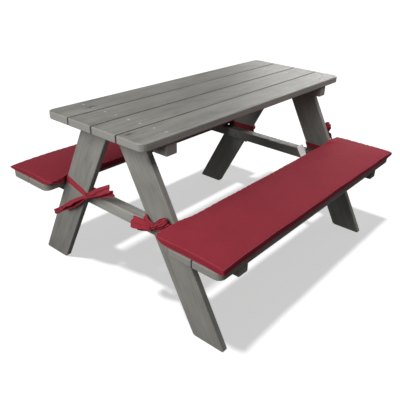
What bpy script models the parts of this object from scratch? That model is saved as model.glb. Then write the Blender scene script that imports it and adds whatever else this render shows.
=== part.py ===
"""Children's picnic table: slatted top, two benches with tied cushions, two A-shaped end frames.

Metres, Z up, floor at Z = 0. X runs along the table, and the front bench is on the -Y side.
"""
import math

import bmesh
import bpy
from mathutils import Matrix, Vector

# Table top
TOP_LENGTH = 0.900
TOP_HEIGHT = 0.510
TOP_THICKNESS = 0.020
TOP_BOARD_COUNT = 4
TOP_BOARD_WIDTH = 0.085
TOP_BOARD_GAP = 0.002

# Benches
SEAT_LENGTH = 0.900
SEAT_HEIGHT = 0.281
SEAT_THICKNESS = 0.020
SEAT_BOARD_WIDTH = 0.082
SEAT_BOARD_GAP = 0.003
SEAT_LEG_CLEARANCE = 0.001

# End frames: leaning legs, a cleat under the top and a beam under the benches
FRAME_SPAN = 0.782
LEG_WIDTH = 0.088
LEG_THICKNESS = 0.018
FOOT_OFFSET = 0.319
HEAD_OFFSET = 0.0555
BATTEN_WIDTH = 0.035
BATTEN_DEPTH = 0.032
CLEAT_INSET = 0.005
BEAM_INSET = 0.0085

# Edges of the boards
PLAN_CORNER_RADIUS = 0.018
PLAN_CORNER_SEGMENTS = 5
FOOT_CORNER_RADIUS = 0.006
FOOT_CORNER_SEGMENTS = 2
EDGE_RADIUS = 0.0025
EDGE_SEGMENTS = 2
EASED_ANGLE = 40

# Countersunk wood screws
SCREW_LENGTH = 0.040
LEG_SCREW_LENGTH = 0.046
SCREW_HEAD_RADIUS = 0.004
SCREW_HEAD_DEPTH = 0.0026
SCREW_SHANK_RADIUS = 0.0019
SCREW_TIP_LENGTH = 0.005
SCREW_PITCH = 0.040
LEG_SCREW_PITCH = 0.044
LEG_SCREW_STAGGER = 0.010
SCREW_SINK = 0.0004
SCREW_CLEARANCE = 0.0003
SCREW_SIDES = 8
HOLE_OVERCUT = 0.001

# Seat cushions
CUSHION_WIDTH = 0.205
CUSHION_BOX_HEIGHT = 0.019
CUSHION_CROWN = 0.006
CUSHION_SIDE_OVERHANG = 0.0085
CUSHION_END_OVERHANG = 0.003
CUSHION_DRAW_IN = 0.004
CUSHION_BORDER = 0.022
CUSHION_LEG_CLEARANCE = 0.0015
CUSHION_LEG_MARGIN = 0.009
CROWN_POWER = 4
SIDE_POWER = 2
END_POWER = 5

# Ribbon ties
RIBBON_WIDTH = 0.016
RIBBON_THICKNESS = 0.0016
RIBBON_SEAM_WIDTH = 0.008
STRAND_SEAM_RISE = 0.016
STRAND_SEAM_GAP = 0.0008
KNOT_RADIUS = 0.009
KNOT_DEPTH = 0.0082
LOOP_WIDTH = 0.024
LOOP_NECK_WIDTH = 0.009
LOOP_NECK_OPENING = 0.0019
LOOP_OPENING = 0.0055
LOOP_LIFT = 0.0095
TAIL_LIFT = 0.0018
TAIL_END_WIDTH = 0.017
BAND_BEND = 0.024
LONG_LOOP = 0.133
HALF_LOOP = 0.103
SHORT_LOOP = 0.074
SMALL_LOOP = 0.066
LONG_TAIL = 0.206
FULL_TAIL = 0.126
HALF_TAIL = 0.065
SHORT_TAIL = 0.042
KNOT_DROP = 0.0145
SNUG_KNOT_DROP = 0.009

# Where a ribbon's stations lie, as shares of a stretch, and the steps of its turns in degrees
BAND_SHARES = (0.30, 0.85)
LOOP_SHARES = (0.02, 0.35, 0.70, 1.0)
TAIL_SHARES = (0.02, 0.25, 0.50, 0.75, 1.0)
EDGE_TURNS = (0, 45, 90)
LOOP_TURNS = (45, 90, 135)
BEND_TURNS = (30, 60, 90)

# Space between pieces that touch
CONTACT_GAP = 0.0003
MERGE = 0.00001

# Heights and edges that follow from the sizes above
TOP_UNDERSIDE = TOP_HEIGHT - TOP_THICKNESS
LEG_HEAD = TOP_UNDERSIDE - CONTACT_GAP
SEAT_UNDERSIDE = SEAT_HEIGHT - SEAT_THICKNESS
CLEAT_TOP = LEG_HEAD
BEAM_TOP = SEAT_UNDERSIDE - CONTACT_GAP
TOP_WIDTH = TOP_BOARD_COUNT * TOP_BOARD_WIDTH + (TOP_BOARD_COUNT - 1) * TOP_BOARD_GAP
LEG_SLOPE = (FOOT_OFFSET - HEAD_OFFSET) / LEG_HEAD
LEG_LEAN = math.atan(LEG_SLOPE)
LEG_LEVEL_WIDTH = LEG_WIDTH / math.cos(LEG_LEAN)
LEG_OUTER_FACE = FRAME_SPAN / 2
LEG_INNER_FACE = LEG_OUTER_FACE - LEG_THICKNESS
BATTEN_OUTER_FACE = LEG_INNER_FACE - CONTACT_GAP
BATTEN_INNER_FACE = BATTEN_OUTER_FACE - BATTEN_WIDTH
BATTEN_MIDDLE = (BATTEN_OUTER_FACE + BATTEN_INNER_FACE) / 2

ENDS = {"left": -1, "right": 1}
SIDES = {"front": -1, "back": 1}

# Each tie: its knot's drop below the seat, then its loops and its tails as (length, angle).
# An angle turns from straight out to the bench, and grows towards straight up.
TIES = {
    ("left", "back"): (
        KNOT_DROP,
        ((LONG_LOOP, -34), (LONG_LOOP, 151)),
        ((LONG_TAIL, -32), (FULL_TAIL, 160)),
    ),
    ("left", "front"): (
        SNUG_KNOT_DROP,
        ((SMALL_LOOP, 36), (SHORT_LOOP, 178)),
        ((SHORT_TAIL, 228), (SHORT_TAIL, 122)),
    ),
    ("right", "front"): (
        KNOT_DROP,
        ((HALF_LOOP, 63), (HALF_LOOP, -35)),
        ((HALF_TAIL, -42), (SHORT_TAIL, 248)),
    ),
    ("right", "back"): (
        KNOT_DROP,
        ((HALF_LOOP, -36), (HALF_LOOP, 76)),
        ((HALF_TAIL, -62), (SHORT_TAIL, 246)),
    ),
}


def leg_middle(height):
    """Distance of a leg's middle line from the table's middle plane, at a height."""
    return FOOT_OFFSET - LEG_SLOPE * height


def leg_outer_edge(height):
    """Distance of a leg's bench-side edge from the table's middle plane, at a height."""
    return leg_middle(height) + LEG_LEVEL_WIDTH / 2


def leg_inner_edge(height):
    """Distance of a leg's table-side edge from the table's middle plane, at a height."""
    return leg_middle(height) - LEG_LEVEL_WIDTH / 2


SEAT_INNER_EDGE = leg_outer_edge(SEAT_UNDERSIDE) + SEAT_LEG_CLEARANCE
SEAT_OUTER_EDGE = SEAT_INNER_EDGE + 2 * SEAT_BOARD_WIDTH + SEAT_BOARD_GAP
CUSHION_OUTER_EDGE = SEAT_OUTER_EDGE + CUSHION_SIDE_OVERHANG
CUSHION_INNER_EDGE = CUSHION_OUTER_EDGE - CUSHION_WIDTH
CUSHION_BOTTOM = SEAT_HEIGHT + CONTACT_GAP


def cushion_leg_edge(height):
    """Distance from the middle plane of a cushion's side where it passes a leg, at a height."""
    return leg_outer_edge(height) + CUSHION_LEG_CLEARANCE


def clear_scene():
    for old in list(bpy.data.objects):
        bpy.data.objects.remove(old, do_unlink=True)


def new_collection(name):
    collection = bpy.data.collections.new(name)
    bpy.context.scene.collection.children.link(collection)
    return collection


def new_material(name, colour, roughness, metallic=0.0):
    """Principled material with one colour, roughness and metallic value."""
    material = bpy.data.materials.new(name)
    material.use_nodes = True
    shader = material.node_tree.nodes["Principled BSDF"]
    shader.inputs["Base Color"].default_value = (*colour, 1.0)
    shader.inputs["Roughness"].default_value = roughness
    shader.inputs["Metallic"].default_value = metallic
    material.diffuse_color = (*colour, 1.0)
    return material


def move_to(obj, collection):
    """Leave the object in this collection alone."""
    for owner in list(obj.users_collection):
        owner.objects.unlink(obj)
    collection.objects.link(obj)


def finish_part(obj, material):
    """Put a finished sub-part in the table's collection with its material."""
    move_to(obj, PARTS)
    obj.data.materials.clear()
    obj.data.materials.append(material)


def hide_as_cutter(obj):
    """Keep a shape only as the tool of a Boolean."""
    move_to(obj, CUTTERS)
    obj.hide_render = True
    obj.display_type = "WIRE"


def new_object(name, mesh):
    obj = bpy.data.objects.new(name, mesh)
    bpy.context.scene.collection.objects.link(obj)
    return obj


def add_box(name, size, centre):
    """Box of a size (x, y, z) around a centre, with its scale applied to its mesh."""
    bpy.ops.mesh.primitive_cube_add(size=1.0, location=centre)
    obj = bpy.context.object
    obj.name = name
    obj.data.name = name
    obj.data.transform(Matrix.Diagonal((*size, 1.0)))
    return obj


def round_marked_edges(obj, chosen, radius, segments):
    """Round the box edges for which chosen(start, end) is true."""
    weight = obj.data.attributes.new("bevel_weight_edge", "FLOAT", "EDGE")
    for edge in obj.data.edges:
        start, end = (obj.data.vertices[index].co for index in edge.vertices)
        weight.data[edge.index].value = 1.0 if chosen(start, end) else 0.0
    bevel = obj.modifiers.new("Corners", "BEVEL")
    bevel.limit_method = "WEIGHT"
    bevel.width = radius
    bevel.segments = segments


def ease_edges(obj):
    """Round every edge that is still square."""
    bevel = obj.modifiers.new("Edges", "BEVEL")
    bevel.limit_method = "ANGLE"
    bevel.angle_limit = math.radians(EASED_ANGLE)
    bevel.width = EDGE_RADIUS
    bevel.segments = EDGE_SEGMENTS


def cut_with(obj, cutter):
    boolean = obj.modifiers.new(cutter.name, "BOOLEAN")
    boolean.operation = "DIFFERENCE"
    boolean.solver = "EXACT"
    boolean.object = cutter


def join_with(obj, other):
    boolean = obj.modifiers.new(other.name, "BOOLEAN")
    boolean.operation = "UNION"
    boolean.solver = "EXACT"
    boolean.object = other


def evaluated_mesh(obj):
    """The object's mesh with its modifiers applied, in place of the object."""
    graph = bpy.context.evaluated_depsgraph_get()
    mesh = bpy.data.meshes.new_from_object(obj.evaluated_get(graph))
    bpy.data.objects.remove(obj, do_unlink=True)
    return mesh


def turned_mesh(name, profile):
    """Mesh of a (radius, height) profile, from top to bottom, turned about Z."""
    mesh = bpy.data.meshes.new(name)
    points = [(radius, 0.0, height) for radius, height in profile]
    mesh.from_pydata(points, [(i, i + 1) for i in range(len(points) - 1)], [])
    turn = new_object(name, mesh).modifiers.new("Turn", "SCREW")
    turn.steps = turn.render_steps = SCREW_SIDES
    turn.use_merge_vertices = True
    turn.merge_threshold = MERGE
    turned = evaluated_mesh(turn.id_data)
    turned.name = name
    return turned


def copies_as_one(name, mesh, places):
    """One object that holds a copy of the mesh at each place, as separate bodies."""
    shape = bmesh.new()
    for place in places:
        copy = mesh.copy()
        copy.transform(place)
        shape.from_mesh(copy)
        bpy.data.meshes.remove(copy)
    joined = bpy.data.meshes.new(name)
    shape.to_mesh(joined)
    shape.free()
    return new_object(name, joined)


def screw_profile(length):
    """Countersunk head, shank and point, below a surface at height 0."""
    neck = -SCREW_SINK - SCREW_HEAD_DEPTH
    return [
        (0.0, -SCREW_SINK),
        (SCREW_HEAD_RADIUS, -SCREW_SINK),
        (SCREW_SHANK_RADIUS, neck),
        (SCREW_SHANK_RADIUS, SCREW_TIP_LENGTH - length),
        (0.0, -length),
    ]


def hole_profile(length):
    """The same form with its clearance, open above the surface."""
    neck = -SCREW_SINK - SCREW_HEAD_DEPTH
    head = SCREW_HEAD_RADIUS + SCREW_CLEARANCE
    shank = SCREW_SHANK_RADIUS + SCREW_CLEARANCE
    return [
        (0.0, HOLE_OVERCUT),
        (head, HOLE_OVERCUT),
        (head, -SCREW_SINK),
        (shank, neck),
        (shank, SCREW_TIP_LENGTH - length),
        (0.0, -length - 2 * SCREW_CLEARANCE),
    ]


def add_hole_cutter(name, length, places):
    """One cutter for the holes of screws that sit at these places."""
    holes = copies_as_one(name + "_holes", turned_mesh(name + "_hole", hole_profile(length)), places)
    hide_as_cutter(holes)
    return holes


def add_screws(name, length, places):
    """A screw at each place, all of one mesh, and the cutter for their holes."""
    blank = turned_mesh(name, screw_profile(length))
    for index, place in enumerate(places):
        screw = new_object(f"{name}_{index + 1:02d}", blank)
        screw.matrix_world = place
        finish_part(screw, STEEL)
    return add_hole_cutter(name, length, places)


def fuse_screws(plank, places):
    """Screws joined with the board that they hold, each head low in its own recess."""
    head = SCREW_HEAD_RADIUS + SCREW_CLEARANCE
    floor = -SCREW_SINK - SCREW_CLEARANCE
    profile = [(0.0, HOLE_OVERCUT), (head, HOLE_OVERCUT), (head, floor), (0.0, floor)]
    recesses = copies_as_one(plank.name + "_recesses", turned_mesh("recess", profile), places)
    hide_as_cutter(recesses)
    cut_with(plank, recesses)
    blank = turned_mesh("bench_screw", screw_profile(SCREW_LENGTH))
    screws = copies_as_one(plank.name + "_screws", blank, places)
    hide_as_cutter(screws)
    join_with(plank, screws)


def board_middles(first_edge, width, gap, count):
    return [first_edge + width / 2 + index * (width + gap) for index in range(count)]


def top_board_middles():
    return board_middles(-TOP_WIDTH / 2, TOP_BOARD_WIDTH, TOP_BOARD_GAP, TOP_BOARD_COUNT)


def seat_board_middles():
    """Distances of a bench's two boards from the table's middle plane."""
    return board_middles(SEAT_INNER_EDGE, SEAT_BOARD_WIDTH, SEAT_BOARD_GAP, 2)


def face_screw_places(middles, height):
    """Two screws in each board over each batten, driven straight down."""
    half = SCREW_PITCH / 2
    return [
        Matrix.Translation((end * BATTEN_MIDDLE, middle + shift, height))
        for end in ENDS.values()
        for middle in middles
        for shift in (-half, half)
    ]


def leg_screw_places(batten_top):
    """Two screws from the inner face of each batten, driven out into each leg."""
    height = batten_top - BATTEN_DEPTH / 2
    places = []
    for end in ENDS.values():
        outward = Matrix.Rotation(-end * math.pi / 2, 4, "Y")
        for side in SIDES.values():
            for step in (-1, 1):
                level = height + step * LEG_SCREW_STAGGER / 2
                across = side * (leg_middle(level) + step * LEG_SCREW_PITCH / 2)
                place = Matrix.Translation((end * BATTEN_INNER_FACE, across, level))
                places.append(place @ outward)
    return places


def add_plank(name, length, width, thickness, middle, top, square_edges):
    """Board along X with rounded plan corners on the edges listed in square_edges as -1 or 1."""
    plank = add_box(name, (length, width, thickness), (0.0, middle, top - thickness / 2))
    if square_edges:
        round_marked_edges(
            plank,
            lambda start, end: abs(start.z - end.z) > thickness / 2
            and any(start.y * edge > 0 for edge in square_edges),
            PLAN_CORNER_RADIUS,
            PLAN_CORNER_SEGMENTS,
        )
    ease_edges(plank)
    return plank


def build_table_top(holes):
    for index, middle in enumerate(top_board_middles()):
        outer_edges = []
        if index == 0:
            outer_edges.append(-1)
        if index == TOP_BOARD_COUNT - 1:
            outer_edges.append(1)
        name = f"table_board_{index + 1}"
        plank = add_plank(
            name, TOP_LENGTH, TOP_BOARD_WIDTH, TOP_THICKNESS, middle, TOP_HEIGHT, outer_edges
        )
        cut_with(plank, holes)
        finish_part(plank, TOP_WOOD)


def build_bench(side_name):
    """Two boards resting on the beams; their screws reach down into the beams."""
    side = SIDES[side_name]
    for place, middle in zip(("inner", "outer"), seat_board_middles()):
        rounded = [side] if place == "outer" else [-side]
        plank = add_plank(
            f"{side_name}_seat_board_{place}",
            SEAT_LENGTH,
            SEAT_BOARD_WIDTH,
            SEAT_THICKNESS,
            side * middle,
            SEAT_HEIGHT,
            rounded,
        )
        fuse_screws(plank, face_screw_places([side * middle], SEAT_HEIGHT))
        finish_part(plank, SEAT_WOOD)


def build_leg(end_name, side_name, hole_sets):
    """Board sheared to its lean, so that both its ends are level."""
    end, side = ENDS[end_name], SIDES[side_name]
    x = end * (LEG_OUTER_FACE - LEG_THICKNESS / 2)
    leg = add_box(
        f"{end_name}_{side_name}_leg",
        (LEG_THICKNESS, LEG_LEVEL_WIDTH, LEG_HEAD),
        (x, side * leg_middle(LEG_HEAD / 2), LEG_HEAD / 2),
    )
    lean = Matrix.Identity(4)
    lean[1][2] = -side * LEG_SLOPE
    leg.data.transform(lean)
    round_marked_edges(
        leg,
        lambda start, end_point: abs(start.x - end_point.x) > LEG_THICKNESS / 2,
        FOOT_CORNER_RADIUS,
        FOOT_CORNER_SEGMENTS,
    )
    ease_edges(leg)
    for holes in hole_sets:
        cut_with(leg, holes)
    finish_part(leg, LEG_WOOD)


def build_batten(name, end_name, half_length, top, hole_sets):
    """Square bar across the table, on the inner faces of two legs."""
    batten = add_box(
        name,
        (BATTEN_WIDTH, 2 * half_length, BATTEN_DEPTH),
        (ENDS[end_name] * BATTEN_MIDDLE, 0.0, top - BATTEN_DEPTH / 2),
    )
    ease_edges(batten)
    for holes in hole_sets:
        cut_with(batten, holes)
    finish_part(batten, LEG_WOOD)


def build_frames(top_holes, seat_holes, cleat_holes, beam_holes):
    for end_name in ENDS:
        for side_name in SIDES:
            build_leg(end_name, side_name, (cleat_holes, beam_holes))
        cleat_half = TOP_WIDTH / 2 - CLEAT_INSET
        beam_half = SEAT_OUTER_EDGE - BEAM_INSET
        build_batten(
            f"{end_name}_top_cleat", end_name, cleat_half, CLEAT_TOP, (top_holes, cleat_holes)
        )
        build_batten(
            f"{end_name}_seat_beam", end_name, beam_half, BEAM_TOP, (seat_holes, beam_holes)
        )


def cushion_columns():
    """Stations along half of a cushion's length: end, border, leg zone and middle third."""
    half = SEAT_LENGTH / 2 + CUSHION_END_OVERHANG
    leg_near = LEG_INNER_FACE - CUSHION_LEG_MARGIN
    leg_far = LEG_OUTER_FACE + CUSHION_LEG_MARGIN
    free = leg_near - CUSHION_BORDER
    return [half, half - CUSHION_BORDER, leg_far, (leg_near + leg_far) / 2, leg_near, free, free / 3]


def cut_box_grid(shape, counts):
    """Cut a unit cube into counts (x, y, z) cells along its axes."""
    for axis, count in enumerate(counts):
        along = [
            edge for edge in shape.edges
            if edge.verts[0].co[axis] * edge.verts[1].co[axis] < 0
        ]
        bmesh.ops.subdivide_edges(shape, edges=along, cuts=count - 1, use_grid_fill=True)


def build_cushion(side_name):
    """Crowned pad: a coarse cage whose sides draw in, leaning back where it passes the legs."""
    side = SIDES[side_name]
    half_columns = cushion_columns()
    columns = [-x for x in half_columns] + half_columns[::-1]
    half_length = half_columns[0]
    middle = (CUSHION_INNER_EDGE + CUSHION_OUTER_EDGE) / 2
    half_width = CUSHION_WIDTH / 2
    rows = [-half_width, CUSHION_BORDER - half_width, 0.0, half_width - CUSHION_BORDER, half_width]
    layers = [0.0, CUSHION_BOX_HEIGHT / 2, CUSHION_BOX_HEIGHT]
    leg_zone = (LEG_INNER_FACE - CUSHION_LEG_MARGIN, LEG_OUTER_FACE + CUSHION_LEG_MARGIN)

    shape = bmesh.new()
    bmesh.ops.create_cube(shape, size=1.0)
    stations = (columns, rows, layers)
    cut_box_grid(shape, [len(values) - 1 for values in stations])
    for vert in shape.verts:
        x, y, height = (
            values[round((place + 1 / 2) * (len(values) - 1))]
            for values, place in zip(stations, vert.co)
        )
        along, across = x / half_length, y / half_width
        reach = middle + y - CUSHION_DRAW_IN * across * (1 - along ** SIDE_POWER)
        if leg_zone[0] - MERGE < abs(x) < leg_zone[1] + MERGE:
            reach = max(reach, cushion_leg_edge(CUSHION_BOTTOM + height))
        if height == CUSHION_BOX_HEIGHT:
            height += CUSHION_CROWN * (1 - along ** CROWN_POWER) * (1 - across ** CROWN_POWER)
        x -= CUSHION_DRAW_IN * along ** END_POWER * (1 - across ** SIDE_POWER)
        vert.co = (side * x, side * reach, CUSHION_BOTTOM + height)
    mesh = bpy.data.meshes.new(f"{side_name}_cushion")
    shape.to_mesh(mesh)
    shape.free()

    cushion = new_object(f"{side_name}_cushion", mesh)
    soften = cushion.modifiers.new("Soften", "SUBSURF")
    soften.levels = soften.render_levels = 1
    mesh.shade_smooth()
    finish_part(cushion, CUSHION_FABRIC)


def add_ribbon(name, stations, end, side):
    """Ribbon through (x, y, z, across_y, across_z, width) stations, mirrored to its leg."""
    shape = bmesh.new()
    rows = []
    for x, y, z, across_y, across_z, width in stations:
        middle = Vector((x, y, z))
        across = Vector((0.0, across_y, across_z)).normalized() * (width / 2)
        rows.append([
            shape.verts.new((end * point.x, side * point.y, point.z))
            for point in (middle - across, middle + across)
        ])
    for before, after in zip(rows, rows[1:]):
        shape.faces.new((before[0], after[0], after[1], before[1]))
    mesh = bpy.data.meshes.new(name)
    shape.to_mesh(mesh)
    shape.free()
    ribbon = new_object(name, mesh)
    solid = ribbon.modifiers.new("Thickness", "SOLIDIFY")
    solid.thickness = RIBBON_THICKNESS
    solid.offset = 0.0
    return ribbon


def band_stations(knot_height):
    """From the cushion over the leg's outer face, round its edge and back along its inner face."""
    lift = CONTACT_GAP + RIBBON_THICKNESS / 2
    lean_out = Vector((-math.cos(LEG_LEAN), -math.sin(LEG_LEAN)))
    edge_up = (-math.sin(LEG_LEAN), math.cos(LEG_LEAN))
    seam_z = CUSHION_BOTTOM + STRAND_SEAM_RISE
    seam_y = cushion_leg_edge(seam_z) - STRAND_SEAM_GAP
    outer_x = LEG_OUTER_FACE + lift
    inner_x = LEG_INNER_FACE - lift
    knot_y = leg_inner_edge(knot_height)
    slope = (seam_z - knot_height) / (seam_y - knot_y)
    stations = [(outer_x, seam_y, seam_z, *edge_up, RIBBON_WIDTH)]
    for share in BAND_SHARES:
        y = seam_y + share * (knot_y - seam_y)
        z = knot_height + slope * (y - knot_y)
        stations.append((outer_x, y, z, -slope, 1.0, RIBBON_WIDTH))

    low = BEAM_TOP + CONTACT_GAP + RIBBON_WIDTH / 2
    turns = [(LEG_OUTER_FACE - EDGE_RADIUS, angle, knot_height) for angle in EDGE_TURNS]
    turns += [(LEG_INNER_FACE + EDGE_RADIUS, 90 + angle, low) for angle in EDGE_TURNS]
    for turn_x, angle, height in turns:
        reach = EDGE_RADIUS + lift
        x = turn_x + reach * math.cos(math.radians(angle))
        sideways = lean_out * (reach * math.sin(math.radians(angle)) - EDGE_RADIUS)
        y = leg_inner_edge(height) + sideways.x
        stations.append((x, y, height + sideways.y, *edge_up, RIBBON_WIDTH))

    under_y = cushion_leg_edge(CUSHION_BOTTOM) + RIBBON_SEAM_WIDTH / 2
    under_z = CUSHION_BOTTOM - STRAND_SEAM_GAP
    bend_y = leg_outer_edge(low) - BAND_BEND
    stations.append((inner_x, leg_inner_edge(low) + RIBBON_WIDTH, low, 0.0, 1.0, RIBBON_WIDTH))
    stations.append((inner_x, bend_y, low, 0.0, 1.0, RIBBON_WIDTH))
    for angle in BEND_TURNS:
        turn = math.radians(angle)
        y = bend_y + (under_y - bend_y) * math.sin(turn)
        z = low + (under_z - low) * (1 - math.cos(turn))
        narrow = RIBBON_WIDTH + (RIBBON_SEAM_WIDTH - RIBBON_WIDTH) * angle / BEND_TURNS[-1]
        stations.append((inner_x, y, z, -math.sin(turn), math.cos(turn), narrow))
    return stations


def loop_stations(knot_height, length, angle):
    """Flattened bow loop: out in the front layer, round its end and back in the rear layer."""
    turn = math.radians(angle)
    knot_y = leg_inner_edge(knot_height)
    middle_x = LEG_OUTER_FACE + LOOP_LIFT
    straight = length - LOOP_OPENING
    path = [(share * straight, share) for share in LOOP_SHARES]
    outline = [
        (along, LOOP_NECK_OPENING + (LOOP_OPENING - LOOP_NECK_OPENING) * share)
        for along, share in path
    ]
    outline += [
        (straight + LOOP_OPENING * math.sin(end_turn), LOOP_OPENING * math.cos(end_turn))
        for end_turn in map(math.radians, LOOP_TURNS)
    ]
    outline += [
        (along, -LOOP_NECK_OPENING - (LOOP_OPENING - LOOP_NECK_OPENING) * share)
        for along, share in reversed(path)
    ]
    stations = []
    for along, depth in outline:
        share = min(along / straight, 1.0)
        width = LOOP_NECK_WIDTH + (LOOP_WIDTH - LOOP_NECK_WIDTH) * math.sin(share * math.pi / 2)
        y = knot_y + along * math.cos(turn)
        z = knot_height + along * math.sin(turn)
        stations.append((middle_x + depth, y, z, -math.sin(turn), math.cos(turn), width))
    return stations


def tail_stations(knot_height, length, angle):
    """Loose end of the ribbon, waving slightly off the leg."""
    turn = math.radians(angle)
    knot_y = leg_inner_edge(knot_height)
    stations = []
    for share in TAIL_SHARES:
        x = LEG_OUTER_FACE + TAIL_LIFT
        y = knot_y + share * length * math.cos(turn)
        z = knot_height + share * length * math.sin(turn)
        width = LOOP_NECK_WIDTH + (TAIL_END_WIDTH - LOOP_NECK_WIDTH) * share
        stations.append((x, y, z, -math.sin(turn), math.cos(turn), width))
    return stations


def add_knot(name, knot_height, end, side):
    shape = bmesh.new()
    bmesh.ops.create_icosphere(shape, subdivisions=2, radius=1.0)
    mesh = bpy.data.meshes.new(name)
    shape.to_mesh(mesh)
    shape.free()
    mesh.transform(Matrix.Diagonal((KNOT_DEPTH, KNOT_RADIUS, KNOT_RADIUS, 1.0)))
    knot = new_object(name, mesh)
    knot_x = LEG_OUTER_FACE + CONTACT_GAP + KNOT_DEPTH
    knot.location = (end * knot_x, side * leg_inner_edge(knot_height), knot_height)
    return knot


def build_tie(end_name, side_name):
    """Ribbon round one leg, knotted in a bow on the leg's outer face, joined into one body."""
    end, side = ENDS[end_name], SIDES[side_name]
    knot_drop, loops, tails = TIES[end_name, side_name]
    knot_height = SEAT_HEIGHT - knot_drop
    name = f"{end_name}_{side_name}_tie"
    tie = add_ribbon(name, band_stations(knot_height), end, side)
    pieces = [add_knot(name + "_knot", knot_height, end, side)]
    for index, (length, angle) in enumerate(loops):
        stations = loop_stations(knot_height, length, angle)
        pieces.append(add_ribbon(f"{name}_loop_{index + 1}", stations, end, side))
    for index, (length, angle) in enumerate(tails):
        stations = tail_stations(knot_height, length, angle)
        pieces.append(add_ribbon(f"{name}_tail_{index + 1}", stations, end, side))
    for piece in pieces:
        hide_as_cutter(piece)
        join_with(tie, piece)
    finish_part(tie, TIE_FABRIC)


clear_scene()
PARTS = new_collection("kids_picnic_table")
CUTTERS = new_collection("cutters")
TOP_WOOD = new_material("top_wood", (0.27, 0.26, 0.24), 0.65)
SEAT_WOOD = new_material("seat_wood", (0.26, 0.25, 0.23), 0.65)
LEG_WOOD = new_material("frame_wood", (0.25, 0.24, 0.22), 0.65)
STEEL = new_material("screw_steel", (0.62, 0.61, 0.58), 0.35, 1.0)
CUSHION_FABRIC = new_material("cushion_fabric", (0.26, 0.035, 0.05), 0.85)
TIE_FABRIC = new_material("tie_ribbon", (0.22, 0.025, 0.04), 0.8)

tabletop_holes = add_screws(
    "tabletop_screw", SCREW_LENGTH, face_screw_places(top_board_middles(), TOP_HEIGHT)
)
bench_middles = [side * middle for side in SIDES.values() for middle in seat_board_middles()]
bench_holes = add_hole_cutter(
    "bench_screw", SCREW_LENGTH, face_screw_places(bench_middles, SEAT_HEIGHT)
)
leg_cleat_holes = add_screws("cleat_screw", LEG_SCREW_LENGTH, leg_screw_places(CLEAT_TOP))
leg_beam_holes = add_screws("beam_screw", LEG_SCREW_LENGTH, leg_screw_places(BEAM_TOP))

build_table_top(tabletop_holes)
build_frames(tabletop_holes, bench_holes, leg_cleat_holes, leg_beam_holes)
for bench in SIDES:
    build_bench(bench)
    build_cushion(bench)
for leg_end, leg_side in TIES:
    build_tie(leg_end, leg_side)
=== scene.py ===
"""Looks of a children's picnic table: grey stained boards, red tied-on cushions, ribbon bows.

Metres, Z up, floor at Z = 0. X runs along the table, and the front bench is on the -Y side.
"""
from math import atan, copysign, cos, exp, pi, radians, sin, sqrt

import bmesh
import bpy
import numpy as np
from mathutils import Euler, Matrix, Vector


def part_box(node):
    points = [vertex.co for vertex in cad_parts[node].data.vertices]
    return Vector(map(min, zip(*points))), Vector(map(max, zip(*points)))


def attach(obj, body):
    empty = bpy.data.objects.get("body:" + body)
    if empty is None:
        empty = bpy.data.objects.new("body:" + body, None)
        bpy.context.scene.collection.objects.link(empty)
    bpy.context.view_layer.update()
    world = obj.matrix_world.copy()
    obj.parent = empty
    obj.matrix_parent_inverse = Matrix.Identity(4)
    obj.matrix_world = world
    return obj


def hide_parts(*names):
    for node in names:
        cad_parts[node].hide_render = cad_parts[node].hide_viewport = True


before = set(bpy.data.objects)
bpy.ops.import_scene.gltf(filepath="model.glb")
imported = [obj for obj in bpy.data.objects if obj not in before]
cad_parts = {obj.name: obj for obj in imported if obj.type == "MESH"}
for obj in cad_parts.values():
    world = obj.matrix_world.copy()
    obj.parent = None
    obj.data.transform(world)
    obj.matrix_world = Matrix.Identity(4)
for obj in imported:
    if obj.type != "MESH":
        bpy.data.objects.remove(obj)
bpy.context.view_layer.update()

ENDS = {"left": -1, "right": 1}
SIDES = {"front": -1, "back": 1}

# The image, and the camera that took it: its place, its angles and its lens in pixels
IMAGE_SIZE = 400
CAMERA_PLACE = (-1.108, -0.9044, 0.8918)
CAMERA_YAW = 0.6545
CAMERA_PITCH = 0.4857
CAMERA_ROLL = 0.0419
FOCAL_PIXELS = 490.4
IMAGE_CENTRE = (225.0, 202.9)
SENSOR_WIDTH = 36.0

# The legs, as they lean, and the heights of what they pass
LEG_WIDTH = 0.088
FOOT_OFFSET = 0.319
HEAD_OFFSET = 0.0555
LEG_LOW, LEG_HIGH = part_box("left_front_leg")
LEG_HEAD = LEG_HIGH.z
LEG_OUTER_FACE = -LEG_LOW.x
LEG_INNER_FACE = -LEG_HIGH.x
LEG_MIDDLE_X = (LEG_INNER_FACE + LEG_OUTER_FACE) / 2
LEG_THICKNESS = LEG_OUTER_FACE - LEG_INNER_FACE
LEG_SLOPE = (FOOT_OFFSET - HEAD_OFFSET) / LEG_HEAD
LEG_LEAN = atan(LEG_SLOPE)
LEG_LEVEL_WIDTH = LEG_WIDTH / cos(LEG_LEAN)
BEAM_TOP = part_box("left_seat_beam")[1].z
SEAT_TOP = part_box("front_seat_board_outer")[1].z
SEAT_THICKNESS = 0.020

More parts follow.
